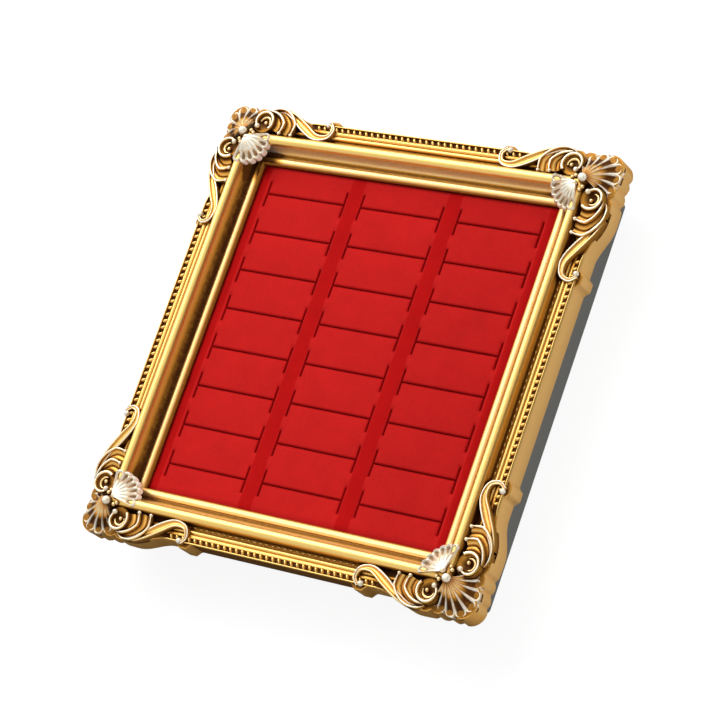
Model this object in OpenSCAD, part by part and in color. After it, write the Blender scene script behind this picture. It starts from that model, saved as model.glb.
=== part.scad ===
// Ring display: a red velvet cushion with H-shaped slits in a gilded, carved frame,
// closed behind by a plain grey box. It lies flat on the box, seen from above.
// Millimetres, +Z up, +Y towards the top edge of the frame. The origin is the middle of
// the box's underside.

/* [Opening] */
// Width of the frame's sight opening
opening_w = 199; // [180:1:240]
// Length of the frame's sight opening
opening_l = 202; // [190:1:240]

/* [Cushion] */
// Thickness of the velvet with its backing cloth
velvet_t = 1; // [0.6:0.1:2]
// Thickness of the foam that grips the rings
foam_t = 25.4; // [20:0.2:32]
// Thickness of the stiff card under the foam
card_t = 2; // [1:0.5:4]
// How far the cushion reaches under the frame's lip on each side
cushion_lap = 3.2; // [2:0.1:4]
// Clearance between the cushion and what holds it
fit_gap = 0.3; // [0.2:0.05:0.5]

/* [Ring slots] */
// Number of slot columns
slot_cols = 3; // [1:1:3]
// Number of slot rows
slot_rows = 8; // [1:1:8]
// Distance between columns
col_pitch = 65; // [58:0.5:66]
// Distance between rows
row_pitch = 24; // [18:0.5:24.5]
// Length of the long cut of a slot
slot_w = 53.6; // [30:0.2:56]
// Length of the short cut across each end
end_cut_l = 15.2; // [4:0.2:17]
// Width of a cut, as the foam springs back
cut_w = 0.9; // [0.4:0.1:2]
// Depth of the cuts below the velvet's face
cut_depth = 18; // [8:0.5:20]

/* [Frame rails] */
// Width of a rail from the opening to the outer wall
rail_w = 27; // [26:0.5:40]
// Depth of the casting below the velvet's face
casting_drop = 7.6; // [5:0.2:14]
// Width of the lip that holds the velvet's edge
lip_w = 4.6; // [3:0.1:5]
// Height of the lip's crest above the velvet
lip_top = 3.1; // [2.2:0.1:3.6]
// Distance from the opening to the crest of the large round moulding
torus_at = 12.6; // [11.5:0.1:14]
// Radius of the large round moulding
torus_r = 3.1; // [2:0.1:3.3]
// Height of the large round moulding's crest above the velvet
torus_top = 12.2; // [11:0.1:14]
// Width of the groove outside the large round moulding
groove_w = 2.9; // [2:0.1:4]
// Width of the fillet between the groove and the rope's channel
fillet_w = 2.8; // [1.5:0.1:4]
// Height of the fillet's crest above the velvet
fillet_top = 6.8; // [6.2:0.1:8]
// Height of the groove beside the large round moulding above the velvet
channel_floor = 4.9; // [3.5:0.1:5.2]

/* [Rope edge] */
// Height of the outer edge above the velvet
edge_top = 7.9; // [6.4:0.1:9]
// Depth of the rope's channel below the outer edge
rope_sink = 2.1; // [1:0.1:2.4]
// Distance between strands along a rail
strand_pitch = 4.1; // [3.6:0.1:6]
// Width of a strand at its foot
strand_w = 3; // [2:0.1:3.4]
// Lean of the strands from straight across the rail, in degrees
strand_lean = 26; // [0:1:45]
// Height of the strands above their channel
strand_h = 2.2; // [1:0.1:3]

/* [Corner carving] */
// Length of the carving along each rail, from the straight outer corner
carve_l = 73; // [68:1:80]
// How far the carving swells beyond the straight outer wall
swell = 6; // [4:0.2:7]
// Height of the pearl's crest above the velvet
pearl_top = 16.2; // [15:0.1:18]
// Height of the palmette beside the pearl
palmette_top = 13.6; // [12:0.1:14]
// Height of the inner shell at its hinge
shell_top = 14.6; // [13:0.1:15]
// Radius of the pearl
pearl_r = 2.5; // [1.5:0.1:3]
// Number of flutes in the outer palmette
palmette_flutes = 8; // [5:1:9]
// Number of ribs in the inner shell
shell_ribs = 7; // [5:1:9]
// Radius of the inner shell
shell_r = 16.4; // [14:0.1:16.6]
// Radius of the volutes
volute_r = 7.3; // [6:0.1:7.6]
// Depth of the hollows between carved rims
hollow = 2.2; // [1:0.1:2.6]

/* [Back box] */
// Distance from the frame's straight outer wall in to the box
box_inset = 7.4; // [7:0.1:9]
// Thickness of the box's floor
floor_t = 3; // [2:0.1:5]
// Thickness of the box's outer wall
box_wall = 2.5; // [1.5:0.1:3]
// Thickness of the wall round the cushion
pocket_wall = 2; // [1.2:0.1:2.4]
// Radius of the box's upright corners
box_corner_r = 3; // [1:0.5:4]
// Number of stiffening ribs between the walls on each side
rib_count = 6; // [2:2:8]
// Thickness of a stiffening rib
rib_t = 1.6; // [1:0.1:2.5]

/* [Screws] */
// Diameter of a screw's shank
screw_d = 3.2; // [2.5:0.1:3.6]
// Length of a screw below its head
screw_l = 19; // [14:0.5:20]
// Diameter of a screw head
head_d = 6.4; // [5:0.1:6.8]
// Height of a screw head
head_h = 2.2; // [1.5:0.1:3]
// Depth of a screw in the casting
grip = 9; // [6:0.5:10]
// Distance of the corner screws from the middle of each corner's rails
corner_screw_at = 84; // [60:1:90]

/* [Hidden] */

// Heights. The velvet's face is the datum of all the moulding heights.
card_z = floor_t;
foam_z = card_z + card_t;
velvet_z = foam_z + foam_t;
face_z = velvet_z + velvet_t;
casting_z = face_z - casting_drop;
seat_z = casting_z - (screw_l - grip);

// Plan sizes
half_w = opening_w / 2 + rail_w;
half_l = opening_l / 2 + rail_w;
cushion_w = opening_w + 2 * cushion_lap;
cushion_l = opening_l + 2 * cushion_lap;
pocket_w = cushion_w + 2 * fit_gap;
pocket_l = cushion_l + 2 * fit_gap;
box_w = 2 * (half_w - box_inset);
box_l = 2 * (half_l - box_inset);

// Screw places, in the middle of the space between the box's walls
space_x = (pocket_w / 2 + pocket_wall + box_w / 2 - box_wall) / 2;
space_y = (pocket_l / 2 + pocket_wall + box_l / 2 - box_wall) / 2;
space_w = box_w / 2 - box_wall - pocket_w / 2 - pocket_wall;
wall_bite = 0.5;
boss_d = space_w + 2 * wall_bite;
hole_gap = 0.4;
screw_spots = [
    for (sx = [-1, 1]) for (y = [-1, 0, 1]) [sx * space_x, y * corner_screw_at],
    for (sy = [-1, 1]) for (x = [-1, 0, 1]) [x * corner_screw_at, sy * space_y]
];

// Rail profile, as [distance out from the opening, height above the velvet]
lip_foot = 1;
lip_floor = 1.8;
lip_crest = lip_w * 0.58;
cove_steps = 5;
torus_steps = 7;
cove_x = lip_w + 0.3;
torus_mid = torus_top - torus_r;
torus_in = torus_at - torus_r;
torus_out = torus_at + torus_r;
fillet_at = torus_out + groove_w + fillet_w / 2;
channel_at = torus_out + groove_w + fillet_w;
edge_round = 0.7;
profile = concat(
    [[0, fit_gap], [0, lip_foot]],
    [for (f = [60, 30, 0]) [lip_crest * (1 - sin(f)), lip_foot + (lip_top - lip_foot) * cos(f)]],
    [[(lip_crest + lip_w) / 2, lip_top - 0.3], [lip_w, lip_floor]],
    [for (i = [0 : cove_steps]) let (f = 90 * i / cove_steps)
        [cove_x + (torus_in - cove_x) * sin(f), torus_mid - (torus_mid - lip_floor) * cos(f)]],
    [for (i = [1 : torus_steps]) let (f = 180 - 180 * i / torus_steps)
        [torus_at + torus_r * cos(f), torus_mid + torus_r * sin(f)]],
    [[torus_out + 0.2, channel_floor], [torus_out + groove_w, channel_floor]],
    [[fillet_at - fillet_w / 5, fillet_top], [fillet_at + fillet_w / 5, fillet_top]],
    [[channel_at, channel_floor]],
    [[rail_w - edge_round, channel_floor], [rail_w, channel_floor - edge_round]],
    [[rail_w, -casting_drop], [cushion_lap + fit_gap, -casting_drop]],
    [[cushion_lap + fit_gap, fit_gap]]
);

// Rope edge between the corner carvings: it starts inside the hook of each carved arm. Its
// section is [distance out from the opening, height above the velvet].
rope_start = carve_l - 4;
rope_floor = edge_top - rope_sink;
edge_w = 0.9;
rope_half = (rail_w - edge_w - channel_at) / 2;
rope_at = channel_at + rope_half;
slant = rope_half * tan(strand_lean);
edge_section = [
    [channel_at - fillet_w / 3, channel_floor - 0.6],
    [channel_at - fillet_w / 3, rope_floor],
    [rail_w - edge_w, rope_floor],
    [rail_w - edge_w, edge_top],
    [rail_w - edge_w / 2, edge_top],
    [rail_w, edge_top - edge_round],
    [rail_w, channel_floor - 1.5]
];

// Corner carving, in the corner's own frame: a runs along X and b along Y, both from the
// straight outer corner inwards, and heights are above the velvet.
pearl_at = 12.5;
hinge_at = 15.5;
palmette_half = 86;
palmette_fall = 8;
shell_half = 58;
shell_droop = 4.4;
carve_floor = channel_floor - 2;
volute_at = [22.5, 4.4];
volute_h = 11.8;
band_count = 2;
band_reach = [0, 7, 14.2];
band_grow = [1, 1.7, 1.05];
band_h = [volute_h, 11.4, 10.4];
band_start = -82;
band_turn = 114;

// Places along the wall, in the corner's own frame
wall_creases = [6, 12.5, 20];
swell_at = 31;
swell_reach = 24;
lug_at = 67.5;
lug_half = 6;

// Carving resolution
lobe_steps = 3;
band_steps = 6;
arm_steps = 9;
ring_steps = 9;

// The swell of the outer wall at distance a along a rail, from cosine bumps
function bump(a, mid, half) = abs(a - mid) < half ? 0.5 + 0.5 * cos(180 * (a - mid) / half) : 0;
function crease(a, mid) = 1 - 0.22 * bump(a, mid, 2.2);
function wall_swell(a) =
    a < wall_creases[0] * 1.5 ? swell * 0.95 * crease(a, wall_creases[0]) :
    a < swell_at ? swell * (0.9 + 0.1 * bump(a, swell_at, swell_reach * 0.8))
        * crease(a, wall_creases[1]) * crease(a, wall_creases[2]) :
    max(swell * bump(a, swell_at, swell_reach), 0.5 * swell * min(1, 1.6 * bump(a, lug_at, lug_half)));
swell_step = 3.6;
swell_line = [for (a = [carve_l : -swell_step : 1]) [a, -wall_swell(a)]];
corner_turn = [for (f = [20 : 25 : 70])
    let (r = swell + 3) [3 - r * sin(f), 3 - r * cos(f)]];

// A point at radius r from p, in the direction of f degrees
function polar(p, r, f) = [p[0] + r * cos(f), p[1] + r * sin(f)];

// Outer palmette: flutes with sharp ridges between them, falling away from the pearl.
// u is the place across one flute, from -1 to 1, and q the place along it, from 0 to 1.
function saw(t, half, n) = let (s = (t + half) * n / (2 * half)) 2 * (s - floor(min(s, n - 0.001))) - 1;
function palmette_r(t, u) = (16 + 5.2 * pow(cos(t), 4)) * (1 - 0.1 * pow(abs(u), 3));
function palmette_pt(q, t) =
    let (
        u = saw(t, palmette_half, palmette_flutes),
        r = 1.5 + (palmette_r(t, u) - 1.5) * q,
        z = palmette_top - palmette_fall * pow(q, 1.7) - hollow * sqrt(q) * (1 - u * u)
    )
    concat(polar([pearl_at, pearl_at], r, 225 + t), [z]);
palmette_grid = [for (q = [0, 0.45, 0.85, 1])
    [for (i = [0 : palmette_flutes * lobe_steps])
        palmette_pt(q, palmette_half * (2 * i / (palmette_flutes * lobe_steps) - 1))]];

// Inner shell: hollow flutes between sharp ribs, drooping towards the opening
function shell_pt(q, t) =
    let (
        u = saw(t, shell_half, shell_ribs),
        r = 1.5 + (shell_r * (1 - 0.09 * pow(abs(u), 3)) - 1.5) * q,
        z = shell_top - shell_droop * pow(cos(t * 1.1), 2) * q * q - hollow * 0.55 * q * (1 - u * u)
    )
    concat(polar([hinge_at, hinge_at], r, 45 + t), [z]);
shell_grid = [for (q = [0, 0.6, 1])
    [for (i = [0 : shell_ribs * lobe_steps])
        shell_pt(q, shell_half * (2 * i / (shell_ribs * lobe_steps) - 1))]];

// Crescent bands round the volute: band k lies between rim k - 1 and rim k, hollowed
// between the two. The rims spring from the volute's outer side and spread along the rail.
function rim_pt(k, s) =
    let (f = band_start + (band_turn - 8 * k) * s)
    let (r = volute_r + band_reach[k] * pow(min(1, (f - band_start + 3) / (-band_start)), band_grow[k]))
    concat(polar(volute_at, r, f), [band_h[k] - 2.4 * pow(1 - s, 2) * k / band_count]);
function band_pt(k, s, v) =
    let (m = rim_pt(k - 1, s) * (1 - v) + rim_pt(k, s) * v)
    [m[0], m[1], m[2] - hollow * (1 - pow(2 * v - 1, 2)) * min(1, 3 * s + 0.3)];
function band_grid(k) = [for (v = [0, 0.45, 1])
    [for (i = [0 : band_steps]) band_pt(k, i / band_steps, v)]];

// Volute: a raised ring like an open C that winds in towards a ball, round a sunken bowl
volute_start = 38;
volute_turn = 264;
volute_ball = 1.8;
function volute_mid(s) =
    polar(volute_at, (volute_r - 0.8) * (1 - 0.3 * s * s), volute_start - volute_turn * s);
function volute_half(s) = 1.15 - 0.25 * s;

// S-shaped arm: centre line as a smooth curve through a few chosen stations, each
// [a, b, height, half width]
arm_stations = [
    [25, -4.2, 6.2, 0.9],
    [33, -4.6, 7.4, 1.4],
    [41, -1.6, 8.8, 2.2],
    [51, 4.6, 9.8, 2.8],
    [60, 9.2, 10, 2.2],
    [67.4, 8.2, 9.6, 1.5],
    [69.6, 3.2, 8.8, 1.2],
    [66.8, -0.8, 8.2, 1]
];
function catmull(p, q, r, s, t) =
    0.5 * (2 * q + (r - p) * t + (2 * p - 5 * q + 4 * r - s) * t * t + (3 * q - p - 3 * r + s) * t * t * t);
function arm_at(x) =
    let (n = len(arm_stations) - 1, y = x * n, i = min(floor(y), n - 1), t = y - i)
    catmull(arm_stations[max(i - 1, 0)], arm_stations[i], arm_stations[i + 1],
        arm_stations[min(i + 2, n)], t);
function arm_side(x) =
    let (p = arm_at(max(x - 0.01, 0)), q = arm_at(min(x + 0.01, 1)), d = [q[0] - p[0], q[1] - p[1]])
    [-d[1], d[0]] / norm(d);
function arm_pt(x, v) =
    let (c = arm_at(x), n = arm_side(x), w = c[3] * v)
    [c[0] + n[0] * w, c[1] + n[1] * w, c[2] + (v > 0.99 ? 0.6 : v < -0.99 ? -0.2 : -0.5)];
arm_grid = [for (v = [-1, 0.1, 1]) [for (i = [0 : arm_steps]) arm_pt(i / arm_steps, v)]];

// A closed solid under a grid of points: down to a flat floor, or of one thickness
module grid_solid(grid, floor_h = undef, thick = 0) {
    n = len(grid);
    m = len(grid[0]);
    count = n * m;
    top = [for (row = grid) each row];
    bottom = [for (p = top) [p[0], p[1], is_undef(floor_h) ? p[2] - thick : floor_h]];
    turns = [
        for (i = [0 : n - 2]) for (j = [0 : m - 2])
            let (e1 = grid[i][j + 1] - grid[i][j], e2 = grid[i + 1][j] - grid[i][j])
            e1[0] * e2[1] - e1[1] * e2[0]
    ];
    turned = turns * [for (t = turns) 1] < 0;
    border = concat(
        [for (j = [0 : m - 1]) j],
        [for (i = [1 : n - 1]) i * m + m - 1],
        [for (j = [m - 2 : -1 : 0]) (n - 1) * m + j],
        [for (i = [n - 2 : -1 : 1]) i * m]
    );
    nb = len(border);
    faces = [
        for (i = [0 : n - 2]) for (j = [0 : m - 2]) let (k = i * m + j) each [
            [k, k + m + 1, k + 1],
            [k, k + m, k + m + 1],
            [count + k, count + k + 1, count + k + m + 1],
            [count + k, count + k + m + 1, count + k + m]
        ],
        for (i = [0 : nb - 1]) let (p = border[i], q = border[(i + 1) % nb]) each [
            [p, q, count + q],
            [p, count + q, count + p]
        ]
    ];
    polyhedron(
        points = concat(top, bottom),
        faces = turned ? [for (f = faces) [f[2], f[1], f[0]]] : faces
    );
}

// A rectangle with round corners, about the origin
module round_rect(w, l, r) {
    square([w - 2 * r, l], center = true);
    square([w, l - 2 * r], center = true);
    for (sx = [-1, 1]) for (sy = [-1, 1])
        translate([sx * (w / 2 - r), sy * (l / 2 - r)]) circle(r = r, $fn = 48);
}

// The four mitred rails as one closed ring: the profile carried round the opening
module rails() {
    m = len(profile);
    signs = [[1, 1], [-1, 1], [-1, -1], [1, -1]];
    points = [
        for (s = signs) for (p = profile)
            [s[0] * (opening_w / 2 + p[0]), s[1] * (opening_l / 2 + p[0]), p[1]]
    ];
    faces = [
        for (j = [0 : 3]) for (i = [0 : m - 1])
            let (a = j * m + i, b = j * m + (i + 1) % m, c = ((j + 1) % 4) * m + i)
            let (d = ((j + 1) % 4) * m + (i + 1) % m) each [[a, d, b], [a, c, d]]
    ];
    polyhedron(points = points, faces = faces);
}

// One rail's outer edge with its rope of slanted strands, along X, with y measured out from
// the opening. length is that of the rail's straight outer wall.
module rope_edge(length) {
    run = length - 2 * rope_start;
    count = floor(run / strand_pitch);
    translate([-run / 2, 0, 0]) rotate([90, 0, 90]) linear_extrude(run) polygon(edge_section);
    for (i = [0 : count - 1])
        translate([(i - (count - 1) / 2) * strand_pitch, rope_at, rope_floor - 0.5])
            linear_extrude(strand_h + 0.5, scale = 0.6) polygon([
                [-strand_w / 2 + slant, -rope_half],
                [strand_w / 2 + slant, -rope_half],
                [strand_w / 2 - slant, rope_half],
                [-strand_w / 2 - slant, rope_half]
            ]);
}

// Ground of the carving: the swollen outer wall, down to the casting's back
module carving_ground() {
    outline = concat(
        swell_line,
        corner_turn,
        [for (i = [len(swell_line) - 1 : -1 : 0]) [swell_line[i][1], swell_line[i][0]]],
        [[2.5, carve_l], [9.5, swell_at], [hinge_at, hinge_at], [swell_at, 9.5], [carve_l, 2.5]]
    );
    translate([0, 0, -casting_drop]) {
        linear_extrude(casting_drop + channel_floor + 0.9) polygon(outline);
        linear_extrude(casting_drop + edge_top) intersection() {
            polygon(outline);
            for (s = [0, 1]) mirror([s, -s, 0])
                translate([rope_start, -swell]) square([carve_l - rope_start, swell + edge_w]);
        }
    }
}

// The carving that each rail has at a corner: crescent bands, volute and S-shaped arm
module rail_carving() {
    for (k = [1 : band_count]) grid_solid(band_grid(k), floor_h = carve_floor);
    grid_solid([for (v = [-1, 0, 1]) [for (i = [0 : ring_steps]) let (s = i / ring_steps, c = volute_mid(s),
        d = polar([0, 0], v * volute_half(s), volute_start - volute_turn * s))
        [c[0] + d[0], c[1] + d[1], volute_h + 0.2 - 0.9 * abs(v) - 0.8 * s]]], floor_h = carve_floor);
    translate(concat(volute_mid(1), [volute_h - 0.7])) sphere(r = volute_ball, $fn = 6);
    translate([volute_at[0], volute_at[1], carve_floor])
        cylinder(r = volute_r - 0.6, h = volute_h - hollow - 1.6 - carve_floor, $fn = 10);
    grid_solid(arm_grid, floor_h = carve_floor);
    translate([lug_at - 2.1, 0.4, edge_top - 0.2]) sphere(r = 1.7, $fn = 6);
}

// One whole corner, symmetric about its diagonal
module corner_carving() {
    carving_ground();
    grid_solid(palmette_grid, floor_h = carve_floor);
    grid_solid(shell_grid, thick = 2.6);
    rail_carving();
    mirror([1, -1, 0]) rail_carving();
    translate([pearl_at, pearl_at, carve_floor])
        cylinder(r1 = pearl_r * 1.8, r2 = pearl_r, h = pearl_top - pearl_r - carve_floor, $fn = 8);
    translate([pearl_at, pearl_at, pearl_top - pearl_r]) sphere(r = pearl_r, $fn = 8);
    translate([hinge_at + 0.6, hinge_at + 0.6, pearl_top - 2.6]) sphere(r = 1.7, $fn = 6);
}

module screw_holes(d, z, h, sides = 24) {
    for (p = screw_spots) translate([p[0], p[1], z]) cylinder(d = d, h = h, $fn = sides);
}

// The gilded frame: rails, rope edge and corner carving in one casting
module frame() color("goldenrod") difference() {
    translate([0, 0, face_z]) {
        rails();
        for (turn = [0, 180]) {
            rotate(turn) translate([0, opening_l / 2, 0]) rope_edge(2 * half_w);
            rotate(turn - 90) translate([0, opening_w / 2, 0]) rope_edge(2 * half_l);
        }
        for (sx = [-1, 1]) for (sy = [-1, 1])
            scale([sx, sy, 1]) translate([-half_w, -half_l, 0]) corner_carving();
    }
    screw_holes(screw_d + hole_gap, casting_z - 1, grip + 1.5, 8);
}

// The H-shaped cuts of all slots, seen from above
module slot_cuts() {
    for (c = [0 : slot_cols - 1]) for (r = [0 : slot_rows - 1])
        translate([(c - (slot_cols - 1) / 2) * col_pitch, (r - (slot_rows - 1) / 2) * row_pitch]) {
            square([slot_w, cut_w], center = true);
            for (s = [-1, 1]) translate([s * slot_w / 2, 0]) square([cut_w, end_cut_l], center = true);
        }
}

// Red velvet over the foam, turned down its sides to the card
module velvet_cover() color("firebrick") {
    translate([0, 0, velvet_z]) linear_extrude(velvet_t) difference() {
        square([cushion_w, cushion_l], center = true);
        slot_cuts();
    }
    translate([0, 0, card_z]) linear_extrude(velvet_z - card_z) difference() {
        square([cushion_w, cushion_l], center = true);
        square([cushion_w - 2 * velvet_t, cushion_l - 2 * velvet_t], center = true);
    }
}

// Foam with the slots cut part of the way through it
module foam_pad() color("lightgrey") {
    size = [cushion_w - 2 * velvet_t, cushion_l - 2 * velvet_t];
    cut = cut_depth - velvet_t;
    translate([0, 0, foam_z]) linear_extrude(foam_t - cut) square(size, center = true);
    translate([0, 0, velvet_z - cut]) linear_extrude(cut) difference() {
        square(size, center = true);
        slot_cuts();
    }
}

// Stiff card that the foam is glued to
module pad_card() color("tan") translate([0, 0, card_z]) linear_extrude(card_t)
    square([cushion_w - 2 * velvet_t, cushion_l - 2 * velvet_t], center = true);

// Grey moulded box: floor, outer wall, pocket wall round the cushion, ribs and bosses
module back_box() color("dimgrey") difference() {
    union() {
        linear_extrude(floor_t) round_rect(box_w, box_l, box_corner_r);
        linear_extrude(casting_z) difference() {
            round_rect(box_w, box_l, box_corner_r);
            square([box_w - 2 * box_wall, box_l - 2 * box_wall], center = true);
        }
        linear_extrude(casting_z) difference() {
            square([pocket_w + 2 * pocket_wall, pocket_l + 2 * pocket_wall], center = true);
            square([pocket_w, pocket_l], center = true);
        }
        linear_extrude(casting_z) for (i = [0 : rib_count - 1]) {
            f = (i + 0.5) / rib_count - 0.5;
            for (s = [-1, 1]) {
                translate([s * space_x, f * pocket_l]) square([space_w + 2 * wall_bite, rib_t], center = true);
                translate([f * pocket_w, s * space_y]) square([rib_t, space_w + 2 * wall_bite], center = true);
            }
        }
        for (p = screw_spots) translate([p[0], p[1], 0]) cylinder(d = boss_d, h = casting_z, $fn = 48);
    }
    screw_holes(screw_d + hole_gap, -1, casting_z + 2);
    screw_holes(head_d + hole_gap, -1, seat_z + 1);
}

// Screws that hold the box to the casting, with their heads deep in the bosses
module box_screws() color("silver") for (p = screw_spots) translate([p[0], p[1], seat_z]) {
    cylinder(d = screw_d, h = screw_l, $fn = 24);
    translate([0, 0, -head_h]) difference() {
        cylinder(d = head_d, h = head_h, $fn = 32);
        for (a = [0, 90]) rotate(a) translate([0, 0, 0]) cube([head_d * 0.6, 0.9, 2.4], center = true);
    }
}

frame();
velvet_cover();
foam_pad();
pad_card();
back_box();
box_screws();
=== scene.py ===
# %% [markdown]
# # A velvet ring display in a gilded frame
# The object lies on its plain back box and is seen from above. The CAD solids give its size.
# This file dresses them: it rebuilds the gilded casting with fine carving, lays velvet over the
# cushion, and gives every piece its finish.

import bpy
import numpy as np
from mathutils import Matrix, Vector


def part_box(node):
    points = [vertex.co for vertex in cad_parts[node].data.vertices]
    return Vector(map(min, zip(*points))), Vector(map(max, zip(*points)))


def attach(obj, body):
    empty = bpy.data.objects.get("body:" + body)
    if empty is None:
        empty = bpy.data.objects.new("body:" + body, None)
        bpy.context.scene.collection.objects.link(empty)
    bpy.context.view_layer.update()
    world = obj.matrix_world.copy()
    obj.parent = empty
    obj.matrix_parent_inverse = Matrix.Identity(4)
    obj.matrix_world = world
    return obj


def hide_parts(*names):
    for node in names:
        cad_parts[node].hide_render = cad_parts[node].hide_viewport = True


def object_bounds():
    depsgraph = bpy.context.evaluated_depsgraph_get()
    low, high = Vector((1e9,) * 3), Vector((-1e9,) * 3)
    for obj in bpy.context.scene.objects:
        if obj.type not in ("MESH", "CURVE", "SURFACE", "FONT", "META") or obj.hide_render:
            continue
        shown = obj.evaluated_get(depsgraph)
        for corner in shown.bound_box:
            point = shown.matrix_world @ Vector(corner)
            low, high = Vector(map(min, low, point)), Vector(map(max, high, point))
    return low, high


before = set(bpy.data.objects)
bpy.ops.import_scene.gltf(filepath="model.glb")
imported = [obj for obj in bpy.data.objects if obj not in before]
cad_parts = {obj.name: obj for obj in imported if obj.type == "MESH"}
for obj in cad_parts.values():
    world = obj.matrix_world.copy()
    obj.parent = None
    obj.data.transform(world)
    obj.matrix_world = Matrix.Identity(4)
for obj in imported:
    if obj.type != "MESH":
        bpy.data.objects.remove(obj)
cad_low, cad_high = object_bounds()
MM = 0.001
cover_low, cover_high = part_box("velvet_cover")
casting_low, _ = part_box("frame")
print("CAD box", [round(v, 4) for v in cad_low], [round(v, 4) for v in cad_high])

# %% [markdown]
# ## Places taken from the CAD
# Everything on the frame is measured from two things: the face of the velvet, and the edge of
# the opening. Working in millimetres from those two keeps the numbers short. The cushion
# reaches under the rails by CUSHION_LAP. DROP is the casting's depth below the velvet's face. A
# corner has its own pair of axes, both starting at the straight outer corner and running
# inwards, and its carving ends at CARVE_L along each.

# %% Main sizes, in millimetres
FACE = cover_high[2] / MM
CUSHION_LAP = 3.2
RAIL_W = 27.0
opening = np.array([cover_high[0], cover_high[1]]) / MM - CUSHION_LAP
outer = opening + RAIL_W
DROP = FACE - casting_low[2] / MM
CARVE_L = 73.0
print("opening", opening * 2, "outer", outer * 2, "casting below the face", round(DROP, 2))

# %% [markdown]
# ## From arrays to a mesh
# Every new piece is one or more closed shells worked out as numpy arrays. A shell is a list of
# points, its faces as rows of point numbers, and three values at each point that the gilding
# reads: patina and shade (brown wax left in the hollows, and painted shade where forms meet,
# near the carving and on rail faces turned from the light), wear and highlight (rubbed to a
# silvery edge, which on the crests is also a painted highlight) and matte (dead flat, as on the
# outer walls). On the velvet, the first marks painted shade at the cuts, the second the bands
# that are pressed smooth.

# %% Shell helpers


def smooth(x):
    """0 below 0, 1 above 1, and 3 x^2 - 2 x^3 between."""
    x = np.clip(x, 0, 1)
    return x * x * (3 - 2 * x)


def bump_at(a, middle, half):
    """A cosine bump: 1 at the middle, 0 at half on either side."""
    inside = np.abs(a - middle) < half
    return np.where(inside, 0.5 + 0.5 * np.cos(np.pi * (a - middle) / half), 0)


def shell(points, quads, tris=None, patina=0.0, worn=0.0, matte=0.0):
    """One closed shell as a dictionary. Each finish value is one number or one per point."""
    points = np.asarray(points, float).reshape(-1, 3)
    tris = np.zeros((0, 3), int) if tris is None else np.asarray(tris, int).reshape(-1, 3)
    quads = np.asarray(quads, int).reshape(-1, 4)
    finish = [np.broadcast_to(np.asarray(v, float).ravel(), (len(points),)).copy()
              for v in (patina, worn, matte)]
    return {"points": points, "quads": quads, "tris": tris, "finish": finish}


def facing_out(s):
    """The shell with its faces turned outwards: the sum of its faces' signed tetrahedra with
    the origin is the volume, and a negative volume means that the faces point inwards."""
    tris = np.concatenate([s["tris"], s["quads"][:, [0, 1, 2]], s["quads"][:, [0, 2, 3]]])
    a, b, c = (s["points"][tris[:, i]] for i in range(3))
    if np.einsum("ij,ij->i", a, np.cross(b, c)).sum() < 0:
        s = dict(s, quads=s["quads"][:, ::-1], tris=s["tris"][:, ::-1])
    return s


def placed(s, scale=(1, 1, 1), turn=0.0, move=(0, 0, 0)):
    """The shell scaled, turned about Z by turn degrees, then moved."""
    f = np.radians(turn)
    points = s["points"] * np.asarray(scale, float)
    x = points[:, 0] * np.cos(f) - points[:, 1] * np.sin(f)
    y = points[:, 0] * np.sin(f) + points[:, 1] * np.cos(f)
    return facing_out(dict(s, points=np.stack([x, y, points[:, 2]], 1) + np.asarray(move, float)))


def grid_quads(rows, cols, close_cols=False, close_rows=False):
    """Faces of a grid of points, row after row, joined end to end where asked."""
    i = np.arange(rows if close_rows else rows - 1)[:, None]
    j = np.arange(cols if close_cols else cols - 1)[None, :]
    i2, j2 = (i + 1) % rows, (j + 1) % cols
    around = (i * cols + j, i * cols + j2, i2 * cols + j2, i2 * cols + j)
    return np.stack(np.broadcast_arrays(*around), -1).reshape(-1, 4)


def block_under(top, floor=None, thick=0.0, **finish):
    """A closed block whose top is a grid of points. Its underside is the same grid at one
    floor height, or lower by one thickness, and a wall joins their borders."""
    n, m = top.shape[:2]
    low = top.copy()
    low[..., 2] = top[..., 2] - thick if floor is None else floor
    last = (n - 1) * m
    edge = np.concatenate([np.arange(m), np.arange(2 * m - 1, n * m, m),
                           np.arange(n * m - 2, last - 1, -1), np.arange(last - m, 0, -m)])
    after = np.roll(edge, -1)
    wall = np.stack([edge, after, after + n * m, edge + n * m], 1)[:, ::-1]
    under = grid_quads(n, m)[:, ::-1] + n * m
    values = {k: np.tile(np.broadcast_to(v, (n, m)).ravel(), 2) for k, v in finish.items()}
    return facing_out(shell(np.concatenate([top.reshape(-1, 3), low.reshape(-1, 3)]),
                            np.concatenate([grid_quads(n, m), under, wall]), **values))


def turned(radius, height, sides, **finish):
    """A closed form turned about Z: the profile's first and last points lie on the axis, and
    the rest are carried round it."""
    f = np.linspace(0, 2 * np.pi, sides, endpoint=False)
    r, h = (np.asarray(v[1:-1], float)[:, None] for v in (radius, height))
    ring = np.stack([r * np.cos(f), r * np.sin(f), h + 0 * f], -1)
    n = len(radius) - 2
    points = np.concatenate([ring.reshape(-1, 3), [[0, 0, height[0]], [0, 0, height[-1]]]])
    j = np.arange(sides)
    k = (j + 1) % sides
    first = np.stack([j, np.full(sides, n * sides), k], 1)
    last = np.stack([k + (n - 1) * sides, np.full(sides, n * sides + 1), j + (n - 1) * sides], 1)
    values = {}
    for name, v in finish.items():
        v = np.broadcast_to(np.asarray(v, float), (len(radius),))
        values[name] = np.concatenate([np.repeat(v[1:-1], sides), [v[0], v[-1]]])
    return facing_out(shell(points, grid_quads(n, sides, close_cols=True),
                            np.concatenate([first, last]), **values))


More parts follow.
